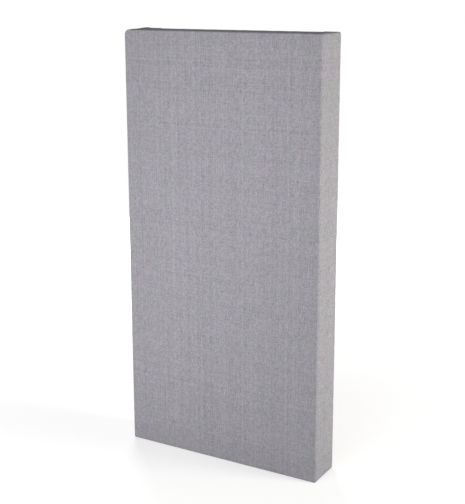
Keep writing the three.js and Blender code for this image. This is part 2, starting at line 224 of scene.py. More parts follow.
X_STEPS = CORNER_STEPS + 2 * (len(FLAP_SHARES) + len(LIP_RUN_SHARES)) + END_POINTS + 1
Z_STEPS = CORNER_STEPS + SIDE_POINTS + 1


# The rings of the sheet, from the flat border of the front back to the free edge of the lap


def fold_rise(depth_share):
    return FOLD_RISE * smooth_step(depth_share / FOLD_START_SHARE)


def tuck_rise(depth_share):
    away = abs(depth_share - TUCK_MIDDLE_SHARE) / TUCK_REACH_SHARE
    return TUCK_RISE * smooth_step(1 - away)


def staple_pull(point, fold_width):
    """1 beside a staple, 0 half way between two and near the corners, and the way outwards."""
    if point.kind == "end":
        along, reach = point.x, HALF_WIDTH - fold_width
        outward = Vector((0, 0, point.end))
    elif point.wrap:
        return 0.0, Vector()
    else:
        along, reach = point.z - TOP / 2, TOP / 2 - LAP_WIDTH
        outward = Vector((point.side, 0, 0))
    fade = smooth_step((reach - abs(along)) / STAPLE_PITCH)
    return fade * (0.5 + 0.5 * math.cos(2 * math.pi * along / STAPLE_PITCH)), outward


def ring_places(inset, y, tilt, depth_share, lap_share):
    """A ring and its places. tilt grows to a quarter turn round the back edge."""
    fold_width = mix(FOLD_FRONT_WIDTH, FOLD_BACK_WIDTH, depth_share)
    ring = outline(inset, fold_width, depth_share)
    near_back = (depth_share - SIDE_PULL_START_SHARE) / (1 - SIDE_PULL_START_SHARE)
    draw = SIDE_PULL * smooth_step(near_back) * math.cos(tilt)
    places = []
    for point in ring:
        rise = point.lift * fold_rise(depth_share)
        tuck = point.tuck * tuck_rise(depth_share)
        upward = (rise + tuck) * math.cos(tilt) if point.end > 0 else 0.0
        pull, outward = staple_pull(point, fold_width)
        backward = (rise - LAP_DIP * pull) * math.sin(tilt)
        inward = -outward * pull * (LAP_SCALLOP * lap_share if lap_share else draw)
        places.append(Vector((point.x, y + backward, point.z + upward)) + inward)
    return ring, places


def sheet_rings():
    """Each ring with its places and its run of cloth from the front's edge, and the whole run."""
    rings = []
    for step in range(1, FLAT_RINGS + 1):
        inset = mix(CROWN_INSET, EDGE_RADIUS, step / FLAT_RINGS)
        rings.append((*ring_places(inset, FRONT, 0, 0, 0), 0.0))
    for step in range(1, EDGE_STEPS + 1):
        angle = step / EDGE_STEPS * math.pi / 2
        inset = EDGE_RADIUS * (1 - math.sin(angle))
        y = FRONT + EDGE_RADIUS * (1 - math.cos(angle))
        rings.append((*ring_places(inset, y, 0, 0, 0), EDGE_RADIUS * angle))
    side_depth = DEPTH - 2 * EDGE_RADIUS
    side_run = EDGE_RADIUS * math.pi / 2
    for share in DEPTH_SHARES:
        y = FRONT + EDGE_RADIUS + share * side_depth
        rings.append((*ring_places(0, y, 0, share, 0), side_run + share * side_depth))
    back_run = side_run + side_depth
    for step in range(1, EDGE_STEPS + 1):
        angle = step / EDGE_STEPS * math.pi / 2
        inset = EDGE_RADIUS * (1 - math.cos(angle))
        y = BACK - EDGE_RADIUS * (1 - math.sin(angle))
        rings.append((*ring_places(inset, y, angle, 1, 0), back_run + EDGE_RADIUS * angle))
    lap_run = back_run + side_run
    for step in range(1, LAP_STEPS + 1):
        share = step / LAP_STEPS
        inset = mix(EDGE_RADIUS, LAP_WIDTH, share)
        run = lap_run + inset - EDGE_RADIUS
        rings.append((*ring_places(inset, BACK, math.pi / 2, 1, smooth_step(share)), run))
    return rings, lap_run + LAP_WIDTH - EDGE_RADIUS


def on_flap(places):
    """Whether a face of the lap is on the flap of a corner, beyond the slanted line of its fold."""
    x = sum(abs(place.x) for place in places) / len(places)
    z = sum(abs(place.z - TOP / 2) for place in places) / len(places)
    return HALF_WIDTH - x > TOP / 2 - z


def cloth_place(point, place, kind, run):
    """Where a point of the sheet was while the cloth lay flat, in metres."""
    if kind == "front":
        return place.x, place.z
    if kind == "end":
        return place.x, TOP / 2 + point.end * (TOP / 2 - EDGE_RADIUS + run)
    level = place.z
    if kind == "flap":
        level = TOP / 2 + point.end * (TOP / 2 + HALF_WIDTH - abs(place.x))
    elif kind == "side" and point.wrap:
        level = point.level + point.end * point.wrap
    return point.side * (HALF_WIDTH - EDGE_RADIUS + run), level


def edge_of_grid(i, j):
    """The place in a ring of a grid's border point: i counts to the right and j upwards."""
    if i == X_STEPS:
        return j
    if j == Z_STEPS:
        return Z_STEPS + X_STEPS - i
    if i == 0:
        return 2 * Z_STEPS + X_STEPS - j
    return 2 * Z_STEPS + X_STEPS + i


def on_border(i, j):
    return i in (0, X_STEPS) or j in (0, Z_STEPS)


def grid_place(i, j, half_width, bottom, top):
    return mix(-half_width, half_width, i / X_STEPS), mix(bottom, top, j / Z_STEPS)


# The foam's push on the front, from a cloth simulation of the stretched front

FRONT_PRESSURE = 0.6
FRONT_STIFFNESS = 60
FRONT_FRAMES = 20


def pressed_front():
    """How far each point of the front is pushed out, as a table by (i, j)."""
    grid = [(i, j) for j in range(Z_STEPS + 1) for i in range(X_STEPS + 1)]
    half_width = HALF_WIDTH - CROWN_INSET
    mesh = bpy.data.meshes.new("front_trial")
    places = [grid_place(i, j, half_width, CROWN_INSET, TOP - CROWN_INSET) for i, j in grid]
    row = X_STEPS + 1
    faces = []
    for j in range(Z_STEPS):
        for i in range(X_STEPS):
            first = j * row + i
            faces.append((first, first + 1, first + row + 1, first + row))
    mesh.from_pydata([(x, 0, z) for x, z in places], [], faces)
    trial = bpy.data.objects.new("front_trial", mesh)
    scene = bpy.context.scene
    scene.collection.objects.link(trial)
    held = trial.vertex_groups.new(name="held")
    held.add([index for index, spot in enumerate(grid) if on_border(*spot)], 1.0, "REPLACE")
    cloth = trial.modifiers.new("cloth", "CLOTH")
    settings = cloth.settings
    settings.vertex_group_mass = held.name
    settings.use_pressure = True
    settings.uniform_pressure_force = FRONT_PRESSURE
    settings.tension_stiffness = FRONT_STIFFNESS
    settings.compression_stiffness = FRONT_STIFFNESS
    settings.shear_stiffness = FRONT_STIFFNESS
    settings.effector_weights.gravity = 0
    for step in range(1, FRONT_FRAMES + 1):
        scene.frame_set(step)
    settled = trial.evaluated_get(bpy.context.evaluated_depsgraph_get())
    pushed = [max(0.0, -vertex.co.y) for vertex in settled.data.vertices]
    scene.frame_set(1)
    bpy.data.objects.remove(trial)
    bpy.data.meshes.remove(mesh)
    share = CROWN_HEIGHT / max(pushed)
    return {spot: push * share for spot, push in zip(grid, pushed)}


# Making pieces


def piece_from(bm, name, material):
    mesh = bpy.data.meshes.new(name)
    bm.to_mesh(mesh)
    bm.free()
    mesh.shade_smooth()
    mesh.materials.append(material)
    piece = bpy.data.objects.new(name, mesh)
    bpy.context.scene.collection.objects.link(piece)
    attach(piece, "root")
    return piece


def apply_modifiers(piece):
    """Put the modified shape in the piece's own mesh, so that no modifier is left."""
    settled = piece.evaluated_get(bpy.context.evaluated_depsgraph_get())
    shape = bpy.data.meshes.new_from_object(settled)
    plain = piece.data
    piece.modifiers.clear()
    piece.data = shape
    bpy.data.meshes.remove(plain)
    shape.name = piece.name


def skin_rings(bm, rings):
    """Faces between each ring and the next, listed with the numbers of ring and point."""
    faces = []
    for number, (here, after) in enumerate(zip(rings, rings[1:])):
        for start in range(len(here)):
            other = (start + 1) % len(here)
            face = bm.faces.new((here[start], after[start], after[other], here[other]))
            faces.append((face, number, start))
    return faces


def ring_of_grid(bm, place_at):
    """The border of a grid, in the order of the rings."""
    ring = [None] * (2 * (X_STEPS + Z_STEPS))
    for i in range(X_STEPS + 1):
        for j in range(Z_STEPS + 1):
            if on_border(i, j):
                ring[edge_of_grid(i, j)] = bm.verts.new(place_at(i, j))
    return ring


def cap_ring(bm, ring, place_at):
    """Fill a ring with a grid. Returns the faces, which look to the front."""
    spots = {}
    for i in range(X_STEPS + 1):
        for j in range(Z_STEPS + 1):
            if on_border(i, j):
                spots[i, j] = ring[edge_of_grid(i, j)]
            else:
                spots[i, j] = bm.verts.new(place_at(i, j))
    faces = []
    for i in range(X_STEPS):
        for j in range(Z_STEPS):
            corners = (spots[i, j], spots[i + 1, j], spots[i + 1, j + 1], spots[i, j + 1])
            faces.append(bm.faces.new(corners))
    return faces


def cover_piece(crown, material):
    """The whole cloth, and its run from the front's edge to the free edge of the lap."""
    bm = bmesh.new()
    cloth_map = bm.loops.layers.uv.new(CLOTH_MAP)
    half_width = HALF_WIDTH - CROWN_INSET

    def front_place(i, j):
        x, z = grid_place(i, j, half_width, CROWN_INSET, TOP - CROWN_INSET)
        return Vector((x, FRONT - crown[i, j], z))

    border = ring_of_grid(bm, front_place)
    rings, run = sheet_rings()
    verts = [border]
    for _, places, _ in rings:
        verts.append([bm.verts.new(place) for place in places])
    for face in cap_ring(bm, border, front_place):
        for loop in face.loops:
            loop[cloth_map].uv = (loop.vert.co.x, loop.vert.co.z)
    first_lap_ring = len(rings) - LAP_STEPS
    for face, number, start in skin_rings(bm, verts):
        other = (start + 1) % len(border)
        kind = rings[number][0][start].kind if number >= FLAT_RINGS else "front"
        if kind == "side" and number >= first_lap_ring:
            kind = "flap" if on_flap([vert.co for vert in face.verts]) else "lap"
        spots = ((number, start), (number + 1, start), (number + 1, other), (number, other))
        for loop, (ring, index) in zip(face.loops, spots):
            points, _, ring_run = rings[max(ring, 1) - 1]
            loop[cloth_map].uv = cloth_place(points[index], loop.vert.co, kind, ring_run)
    noise.seed_set(SLACK_SEED)
    for vert in bm.verts:
        sway = SLACK * noise.noise_vector(vert.co / SLACK_LENGTH)
        vert.co += Vector((sway.x, sway.y, 0))
    cover = piece_from(bm, "cloth_cover", material)
    solidify = cover.modifiers.new("thickness", "SOLIDIFY")
    solidify.thickness = CLOTH_THICKNESS
    solidify.offset = -1
    apply_modifiers(cover)
    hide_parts("fabric_cover")
    return cover, run


# Foam slabs: cut edges a little rounded, and a back that swells between what holds it in

FOAM_EDGE_RADIUS = 2.5 * MM
FOAM_EDGE_STEPS = 3
FOAM_SWELL = 2.2 * MM
FOAM_UNEVENNESS = 0.25 * MM
FOAM_LUMP_LENGTH = 30 * MM
FOAM_SIDE_STEPS = 5
SWELL_REACH = 90 * MM
SWELL_SIDE_STEPS = 8


def foam_ring(bm, low, high, inset, y):
    """A ring for a slab, with as many points as the cloth's rings have."""
    half_width = (high.x - low.x) / 2 - inset

    def place(i, j):
        x, z = grid_place(i, j, half_width, low.z + inset, high.z - inset)
        return Vector((x, y, z))

    return ring_of_grid(bm, place)


def foam_piece(name, node, material, front_push, back_push):
    """front_push and back_push tell how far a face stands proud at (x, z, i, j), or are None."""
    low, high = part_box(node)
    bm = bmesh.new()
    radius = FOAM_EDGE_RADIUS
    half_width = high.x - radius
    front = low.y if front_push is None else FRONT + FRAME_INSET
    levels = []
    for step in range(FOAM_EDGE_STEPS + 1):
        angle = step / FOAM_EDGE_STEPS * math.pi / 2
        levels.append((radius * (1 - math.sin(angle)), radius * (1 - math.cos(angle))))
    depth = high.y - front
    steps = range(1, FOAM_SIDE_STEPS)
    middle = [(0.0, mix(radius, depth - radius, step / FOAM_SIDE_STEPS)) for step in steps]
    profile = levels + middle + [(inset, depth - run) for inset, run in reversed(levels)]
    rings = [foam_ring(bm, low, high, inset, front + run) for inset, run in profile]
    skin_rings(bm, rings)

    def faced(y, push, way):
        def place(i, j):
            x, z = grid_place(i, j, half_width, low.z + radius, high.z - radius)
            return Vector((x, y + way * (push(x, z, i, j) if push else 0.0), z))
        return place

    cap_ring(bm, rings[0], faced(front, front_push, -1))
    back_faces = cap_ring(bm, rings[-1], faced(high.y, back_push, 1))
    bmesh.ops.reverse_faces(bm, faces=back_faces)
    slab = piece_from(bm, name, material)
    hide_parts(node)


# Staples, all in one piece: a flat wire whose two legs go down through the lap

STAPLE_WIRE_THICKNESS = 0.6 * MM
STAPLE_WIRE_WIDTH = 1.2 * MM
STAPLE_BEND_RADIUS = 0.6 * MM
STAPLE_CROWN_HEIGHT = 0.2 * MM
STAPLE_SINK = 0.9 * MM
STAPLE_BEND_STEPS = 4
STAPLE_SECTION_SIDES = 8
STAPLE_TURN = math.radians(14)
STAPLE_SHIFT = 0.8 * MM
STAPLE_SEED = 5
BACKWARDS = Vector((0, 1, 0))


def staple_centres():
    """Places on the lap and the direction in which each staple's crown lies."""
    spots = []
    side_count = int((TOP / 2 - LAP_WIDTH) / STAPLE_PITCH)
    for x in (STAPLE_INSET - HALF_WIDTH, HALF_WIDTH - STAPLE_INSET):
        for step in range(-side_count, side_count + 1):
            spots.append((x, TOP / 2 + step * STAPLE_PITCH, math.pi / 2))
    end_count = int(FOLD_LINE / STAPLE_PITCH)
    for z in (STAPLE_INSET, TOP - STAPLE_INSET):
        for step in range(-end_count, end_count + 1):
            spots.append((step * STAPLE_PITCH, z, 0.0))
        for side in (-1, 1):
            spots.append((side * (FOLD_LINE + STAPLE_WIDTH), z, 0.0))
    return spots


def staple_path():
    """The wire's middle line, as (along, height above the cloth)."""
    half = STAPLE_WIDTH / 2
    bend = STAPLE_BEND_RADIUS
    path = [(-half, -STAPLE_SINK)]
    for step in range(STAPLE_BEND_STEPS + 1):
        angle = step / STAPLE_BEND_STEPS * math.pi / 2
        height = bend * (math.sin(angle) - 1) + STAPLE_CROWN_HEIGHT
        path.append((-half + bend * (1 - math.cos(angle)), height))
    return path + [(-along, height) for along, height in reversed(path)]


def add_staple(bm, path, x, level, z, heading):
    """Skin one staple's wire. level is where the cloth lies under it."""
    along = Vector((math.cos(heading), 0, math.sin(heading)))
    across = Vector((-math.sin(heading), 0, math.cos(heading)))
    loops = []
    for index, (run, height) in enumerate(path):
        before = path[max(index - 1, 0)]
        after = path[min(index + 1, len(path) - 1)]
        way = Vector((after[0] - before[0], after[1] - before[1])).normalized()
        rise = BACKWARDS * way.x - along * way.y
        middle = Vector((x, level + height, z)) + along * run
        loop = []
        for corner in range(STAPLE_SECTION_SIDES):
            angle = corner / STAPLE_SECTION_SIDES * math.tau
            wide = across * math.cos(angle) * STAPLE_WIRE_WIDTH / 2
            thick = rise * math.sin(angle) * STAPLE_WIRE_THICKNESS / 2
            loop.append(bm.verts.new(middle + wide + thick))
        loops.append(loop)
    skin_rings(bm, loops)
    bm.faces.new(reversed(loops[0]))
    bm.faces.new(loops[-1])


def staples_piece(material):
    bm = bmesh.new()
    chance = random.Random(STAPLE_SEED)
    path = staple_path()
    for x, z, heading in staple_centres():
        heading += chance.uniform(-STAPLE_TURN, STAPLE_TURN)
        x += chance.uniform(-STAPLE_SHIFT, STAPLE_SHIFT)
        z += chance.uniform(-STAPLE_SHIFT, STAPLE_SHIFT)
        folded = abs(x) > FOLD_LINE and min(z, TOP - z) < LAP_WIDTH
        level = BACK + (FOLD_RISE if folded else -LAP_DIP)
        add_staple(bm, path, x, level, z, heading)
    bmesh.ops.recalc_face_normals(bm, faces=bm.faces)
    return piece_from(bm, "lap_staples", material)


# Materials


def add(tree, kind, inputs=(), **settings):
    """Add a node. Each input is a plain value, or the output of another node."""
    node = tree.nodes.new(kind)
    for name, value in settings.items():
        setattr(node, name, value)
    for key, value in dict(inputs).items():
        if isinstance(value, bpy.types.NodeSocket):
            tree.links.new(value, node.inputs[key])
        else:
            node.inputs[key].default_value = value
    return node


def calc(tree, operation, first, second=0.0, third=0.0, clamped=False):
    inputs = {0: first, 1: second, 2: third}
    return add(tree, "ShaderNodeMath", inputs, operation=operation, use_clamp=clamped).outputs[0]


def about_zero(tree, value):
    """A noise value, which lies about 0.5, moved to lie about 0."""
    return calc(tree, "SUBTRACT", value, 0.5)


def place_of(tree, x=0.0, y=0.0, z=0.0):
    return add(tree, "ShaderNodeCombineXYZ", {"X": x, "Y": y, "Z": z}).outputs[0]


def vector_calc(tree, operation, first, second):
    return add(tree, "ShaderNodeVectorMath", {0: first, 1: second}, operation=operation).outputs[0]


def grain_noise(tree, place, scale, detail, roughness=0.5):
    """Noise about 0.5. scale is one number, or one for each axis."""
    if isinstance(scale, tuple):
        place, scale = vector_calc(tree, "MULTIPLY", place, scale), 1.0
    inputs = {"Vector": place, "Scale": scale, "Detail": detail, "Roughness": roughness}
    return add(tree, "ShaderNodeTexNoise", inputs).outputs["Fac"]


def ramp(tree, value, stops):
    """A colour ramp through (position, colour) stops."""
    node = add(tree, "ShaderNodeValToRGB", {"Fac": value})
    elements = node.color_ramp.elements
    while len(elements) < len(stops):
        elements.new(1.0)
    for element, (position, colour) in zip(elements, stops):
        element.position = position
        element.color = colour
    return node.outputs["Color"]


def blend_colours(tree, share, first, second, way="MIX"):
    inputs = {0: share, 6: first, 7: second}
    return add(tree, "ShaderNodeMix", inputs, data_type="RGBA", blend_type=way).outputs[2]


def screen_colour(red, green, blue):
    """A colour given as the 0 to 255 levels seen on a screen."""
    levels = []
    for level in (red, green, blue):
        share = level / 255
        levels.append(share / 12.92 if share <= 0.04045 else ((share + 0.055) / 1.055) ** 2.4)
    return (*levels, 1.0)


def new_material(name):
    material = bpy.data.materials.new(name)
    material.use_nodes = True
    tree = material.node_tree
    return material, tree, tree.nodes["Principled BSDF"]


def rough_surface(tree, shader, colour, height, relief, roughness, relief_share=1.0):
    """relief is how far a height of 1 stands out, and relief_share how strongly that shows."""
    tree.links.new(colour, shader.inputs["Base Color"])
    inputs = {"Height": height, "Distance": relief, "Strength": relief_share}
    tree.links.new(add(tree, "ShaderNodeBump", inputs).outputs[0], shader.inputs["Normal"])
    if isinstance(roughness, bpy.types.NodeSocket):
        tree.links.new(roughness, shader.inputs["Roughness"])
    else:
        shader.inputs["Roughness"].default_value = roughness


def object_place(tree):
    return add(tree, "ShaderNodeTexCoord").outputs["Object"]


# The cloth: lengths on the flat sheet, heights and contrasts as shares

YARN_PITCH = 0.95 * MM
YARN_RELIEF = 0.1 * MM
YARN_RELIEF_SHARE = 0.6
YARN_ROUNDNESS = 1.35
YARN_UNEVENNESS = 1.1
YARN_WOBBLE = 1.1 * MM
WOBBLE_LENGTH = 14 * MM
YARN_STEP = 3.7
SLUB_DETAIL = 4.0
SLUB_ROUGHNESS = 1.0
SLUB_STRENGTH = 20.0
DYE_SHARE = 0.1
FIBRE_LENGTH = 1.2 * MM
FIBRE_WIDTH = 0.12 * MM
FIBRE_TWIST = 0.35
FIBRE_CONTRAST = 0.5
FIBRE_RELIEF = 0.25
# Painted shade: how much darker the cloth is painted where it lies deep between the yarns
PAINTED_GAP_SHADE = 0.45
MOTTLE_LENGTH = 9 * MM
MOTTLE_LEVEL = 0.02
PATCH_LENGTH = 60 * MM
PATCH_SHARE = 0.5
GREEN_CAST = (0.965, 1.015, 0.97, 1)
VIOLET_CAST = (1.035, 0.985, 1.03, 1)
CAST_STOPS = ((0.5 - PATCH_SHARE / 2, GREEN_CAST), (0.5 + PATCH_SHARE / 2, VIOLET_CAST))
CLOTH_ROUGHNESS = 0.92
CLOTH_SHEEN = 0.05
CLOTH_SHEEN_ROUGHNESS = 0.6

YarnLook = namedtuple("YarnLook", "slub_length slub_layer contrast dark light")
WARP = YarnLook(22 * MM, 0.0, 2.5, screen_colour(105, 102, 110), screen_colour(212, 209, 217))
WEFT = YarnLook(16 * MM, 40.0, 2.2, screen_colour(111, 110, 116), screen_colour(206, 204, 210))
Yarns = namedtuple("Yarns", "run index slubs fibres colour")


def yarn_tone(tree, row, slubs, fibres, contrast):
    """How light a yarn is: its own level, its slubs and its single fibres."""
    dye = add(tree, "ShaderNodeTexWhiteNoise", {"W": row}, noise_dimensions="1D").outputs["Value"]
    slub = about_zero(tree, slubs)
    strength = calc(tree, "MULTIPLY_ADD", calc(tree, "MULTIPLY", slub, slub), SLUB_STRENGTH, 1.0)
    strong_slub = calc(tree, "MULTIPLY", slub, strength)
    tone = calc(tree, "MULTIPLY_ADD", about_zero(tree, dye), DYE_SHARE, strong_slub)
    tone = calc(tree, "MULTIPLY_ADD", tone, contrast, 0.5)
    return calc(tree, "MULTIPLY_ADD", about_zero(tree, fibres), FIBRE_CONTRAST, tone)


def yarn_fibres(tree, along, across):
    """Fine streaks along a yarn, slanted by its twist."""
    twisted = calc(tree, "MULTIPLY_ADD", along, FIBRE_TWIST, across)
    widthwise = calc(tree, "DIVIDE", twisted, FIBRE_WIDTH)
    lengthwise = calc(tree, "DIVIDE", along, FIBRE_LENGTH)
    return grain_noise(tree, place_of(tree, widthwise, lengthwise), 1.0, detail=1.0)


def yarns_one_way(tree, across, along, look):
    """The yarns that run along one axis of the sheet, counted along the other."""
    run = calc(tree, "DIVIDE", across, YARN_PITCH)
    index = calc(tree, "FLOOR", run)
    row = calc(tree, "MULTIPLY", index, YARN_STEP)
    length = calc(tree, "DIVIDE", along, look.slub_length)
    slub_place = place_of(tree, row, length, look.slub_layer)
    slubs = grain_noise(tree, slub_place, 1.0, SLUB_DETAIL, SLUB_ROUGHNESS)
    fibres = yarn_fibres(tree, along, across)
    tone = yarn_tone(tree, row, slubs, fibres, look.contrast)
    return Yarns(run, index, slubs, fibres, blend_colours(tree, tone, look.dark, look.light))


def yarn_height(tree, yarns, other_run, shift):
    """A yarn's round section, which goes over and under the other yarns as a wave."""
    inside = calc(tree, "SUBTRACT", yarns.run, yarns.index)
    section = calc(tree, "SINE", calc(tree, "MULTIPLY", inside, math.pi))
    crossing = calc(tree, "ADD", other_run, shift)
    wave = calc(tree, "SINE", calc(tree, "MULTIPLY", crossing, math.pi))
    uneven = calc(tree, "MULTIPLY_ADD", about_zero(tree, yarns.slubs), YARN_UNEVENNESS, wave)
    return calc(tree, "MULTIPLY_ADD", section, YARN_ROUNDNESS, uneven)


def wobbled(tree, flat):
    """The sheet's coordinates X and Y, bent so that no yarn runs dead straight."""
    inputs = {"Vector": flat, "Scale": 1 / WOBBLE_LENGTH}
    sway = add(tree, "ShaderNodeTexNoise", inputs).outputs["Color"]
    shift = vector_calc(tree, "MULTIPLY", sway, (YARN_WOBBLE, YARN_WOBBLE, 0))
    parts = add(tree, "ShaderNodeSeparateXYZ", {0: vector_calc(tree, "ADD", flat, shift)})
    return parts.outputs["X"], parts.outputs["Y"]


def cloth_material():
    """A plain weave of melange yarns, in the cloth's own flat coordinates, with painted shade in
    the gaps between the yarns.
    """
    material, tree, shader = new_material("melange_cloth")
    flat = add(tree, "ShaderNodeUVMap", uv_map=CLOTH_MAP).outputs[0]
    x, y = wobbled(tree, flat)
    warp = yarns_one_way(tree, x, y, WARP)
    weft = yarns_one_way(tree, y, x, WEFT)
    warp_height = yarn_height(tree, warp, weft.run, warp.index)
    weft_height = yarn_height(tree, weft, warp.run, calc(tree, "ADD", weft.index, 1.0))
    warp_on_top = calc(tree, "GREATER_THAN", warp_height, weft_height)
    relief = calc(tree, "MAXIMUM", warp_height, weft_height)
    yarns = blend_colours(tree, warp_on_top, weft.colour, warp.colour)

    # Painted shade: the colour is darkened where the weave lies low between the yarns' crowns, as
    # shade falls there. The mottle is the cloth's own tone.
    height_share = calc(tree, "DIVIDE", relief, 1 + YARN_ROUNDNESS)
    depth = calc(tree, "SUBTRACT", 1.0, height_share, clamped=True)
    painted_gap_shade = calc(tree, "MULTIPLY", calc(tree, "MULTIPLY", depth, depth), -PAINTED_GAP_SHADE)
    mottle = about_zero(tree, grain_noise(tree, flat, 1 / MOTTLE_LENGTH, detail=3.0))
    level = calc(tree, "MULTIPLY_ADD", mottle, 2 * MOTTLE_LEVEL, calc(tree, "ADD", painted_gap_shade, 1.0))
    shade = add(tree, "ShaderNodeCombineColor", {0: level, 1: level, 2: level}).outputs[0]
    shaded = blend_colours(tree, 1.0, yarns, shade, "MULTIPLY")
    cast = ramp(tree, grain_noise(tree, flat, 1 / PATCH_LENGTH, detail=3.0), CAST_STOPS)
    colour = blend_colours(tree, 1.0, shaded, cast, "MULTIPLY")
    height = calc(tree, "MULTIPLY_ADD", warp.fibres, FIBRE_RELIEF, relief)
    rough_surface(tree, shader, colour, height, YARN_RELIEF, CLOTH_ROUGHNESS, YARN_RELIEF_SHARE)
    shader.inputs["Sheen Weight"].default_value = CLOTH_SHEEN
    shader.inputs["Sheen Roughness"].default_value = CLOTH_SHEEN_ROUGHNESS
    shader.inputs["Specular IOR Level"].default_value = 0.0
    return material


# The foam: pores are shares of a cell

FOAM_CELL = 1.1 * MM
LEAST_PORE = 0.12
PORE_SPREAD = 0.35
STRUT_SHARPNESS = 2.4
# Painted shade: how much darker the pores are painted than the struts
PAINTED_PORE_SHADE_SHARE = 0.7
FOAM_PATCH_SCALE = 9.0
FOAM_PATCH_SHARE = 0.3
SPECK_SCALE = 0.6 / FOAM_CELL
SPECK_SHARE = 0.3
FOAM_RELIEF = 0.5 * MM
FOAM_ROUGHNESS = 0.95
FOAM_SPECULAR = 0.2
FOAM_STOPS = ((0.25, screen_colour(36, 37, 40)), (0.85, screen_colour(90, 91, 95)))


def foam_material():
    """Open cells: round pores of all sizes, darkened with painted shade, in paler struts."""
    material, tree, shader = new_material("open_cell_foam")
    place = object_place(tree)
    cells = add(tree, "ShaderNodeTexVoronoi", {"Vector": place, "Scale": 1 / FOAM_CELL})
    lot = add(tree, "ShaderNodeSeparateXYZ", {0: cells.outputs["Color"]}).outputs["X"]
    pore = calc(tree, "MULTIPLY_ADD", lot, PORE_SPREAD, LEAST_PORE)
    past_pore = calc(tree, "SUBTRACT", cells.outputs["Distance"], pore)
    strut_height_and_pore_shade = calc(tree, "MULTIPLY", past_pore, STRUT_SHARPNESS, clamped=True)
    patches = grain_noise(tree, place, FOAM_PATCH_SCALE, detail=3.0)
    specks = grain_noise(tree, place, SPECK_SCALE, detail=2.0)
    # Painted shade: the pores are painted darker than the struts, as shade falls in the open cells.
    # The patches and specks are the foam's own tone.
    tone = calc(tree, "MULTIPLY", strut_height_and_pore_shade, PAINTED_PORE_SHADE_SHARE)
    tone = calc(tree, "MULTIPLY_ADD", patches, FOAM_PATCH_SHARE, tone)
    tone = calc(tree, "MULTIPLY_ADD", specks, SPECK_SHARE, tone)
    colour = ramp(tree, tone, FOAM_STOPS)
    rough_surface(tree, shader, colour, strut_height_and_pore_shade, FOAM_RELIEF, FOAM_ROUGHNESS)
    shader.inputs["Specular IOR Level"].default_value = FOAM_SPECULAR
    return material


# Pine: scales are per metre along the grain and across it

TIMBER_RING = 4.5 * MM
RING_SLANT = (0.01, 0.6, 1.0)
RING_DISTORTION = 0.4
RING_DETAIL = 2.0
RING_SHARE = 0.9
RING_STRENGTH_SCALE = (1.6, 70.0, 70.0)
BANDS_A_METRE_APART = math.tau / 10
TIMBER_SWAY = 9 * MM
SWAY_SCALE = (2.5, 9.0, 9.0)
YEARS_LENGTH = 19 * MM
YEARS_SHIFT = 15 * MM
YEARS_SCALE = (0.8, 1 / YEARS_LENGTH, 1 / YEARS_LENGTH)
TIMBER_FIBRE_SCALE = (25.0, 900.0, 900.0)
TIMBER_FIBRE_SHARE = 0.55
TIMBER_RELIEF = 0.15 * MM
TIMBER_ROUGHNESS = 0.5
TIMBER_FIBRE_ROUGHNESS = 0.25
TIMBER_STOPS = (
    (0.15, screen_colour(222, 191, 147)),
    (0.6, screen_colour(206, 166, 115)),
    (0.95, screen_colour(170, 122, 74)),
)


def timber_material():
    """Planed pine whose grain runs along X, with slanted growth rings across it."""
    material, tree, shader = new_material("planed_pine")
    place = object_place(tree)
    sway = calc(tree, "MULTIPLY", grain_noise(tree, place, SWAY_SCALE, detail=2.0), TIMBER_SWAY)
    years = grain_noise(tree, place, YEARS_SCALE, detail=1.0)
    bend = calc(tree, "MULTIPLY_ADD", years, YEARS_SHIFT, sway)
    slanted = vector_calc(tree, "MULTIPLY", place, RING_SLANT)
    bent = vector_calc(tree, "ADD", slanted, place_of(tree, y=bend))
    inputs = {
        "Vector": bent,
        "Scale": BANDS_A_METRE_APART / TIMBER_RING,
        "Distortion": RING_DISTORTION,
        "Detail": RING_DETAIL,
    }
    bands = {"wave_type": "BANDS", "bands_direction": "DIAGONAL", "wave_profile": "SAW"}
    rings = add(tree, "ShaderNodeTexWave", inputs, **bands).outputs["Fac"]
    strength = grain_noise(tree, place, RING_STRENGTH_SCALE, detail=1.0)
    strong_rings = calc(tree, "MULTIPLY", rings, calc(tree, "MULTIPLY", strength, RING_SHARE))
    fibres = grain_noise(tree, place, TIMBER_FIBRE_SCALE, detail=3.0)
    tone = calc(tree, "MULTIPLY_ADD", fibres, TIMBER_FIBRE_SHARE, strong_rings)
    roughness = calc(tree, "MULTIPLY_ADD", fibres, TIMBER_FIBRE_ROUGHNESS, TIMBER_ROUGHNESS)
    colour = ramp(tree, tone, TIMBER_STOPS)
    rough_surface(tree, shader, colour, tone, TIMBER_RELIEF, roughness, relief_share=0.5)
    return material


PLY_THICKNESS = 1.5 * MM
PLY_UNEVENNESS = PLY_THICKNESS / 2
UNEVENNESS_SCALE = 40.0
DARK_PLY_SHARE = 0.22
PLY_CLOUD_SCALE = 14.0
PLY_CLOUD_SHARE = 0.3
PLY_SCALE_ALONG = 8.0
PLY_SCALE_ACROSS = 260.0
PLY_FIBRE_SHARE = 0.5
PLY_RELIEF = 0.1 * MM
PLY_ROUGHNESS = 0.55
PLY_FIBRE_ROUGHNESS = 0.2
PLY_STOPS = (
    (0.2, screen_colour(226, 202, 165)),
    (0.55, screen_colour(203, 170, 125)),
    (0.9, screen_colour(150, 112, 74)),
)


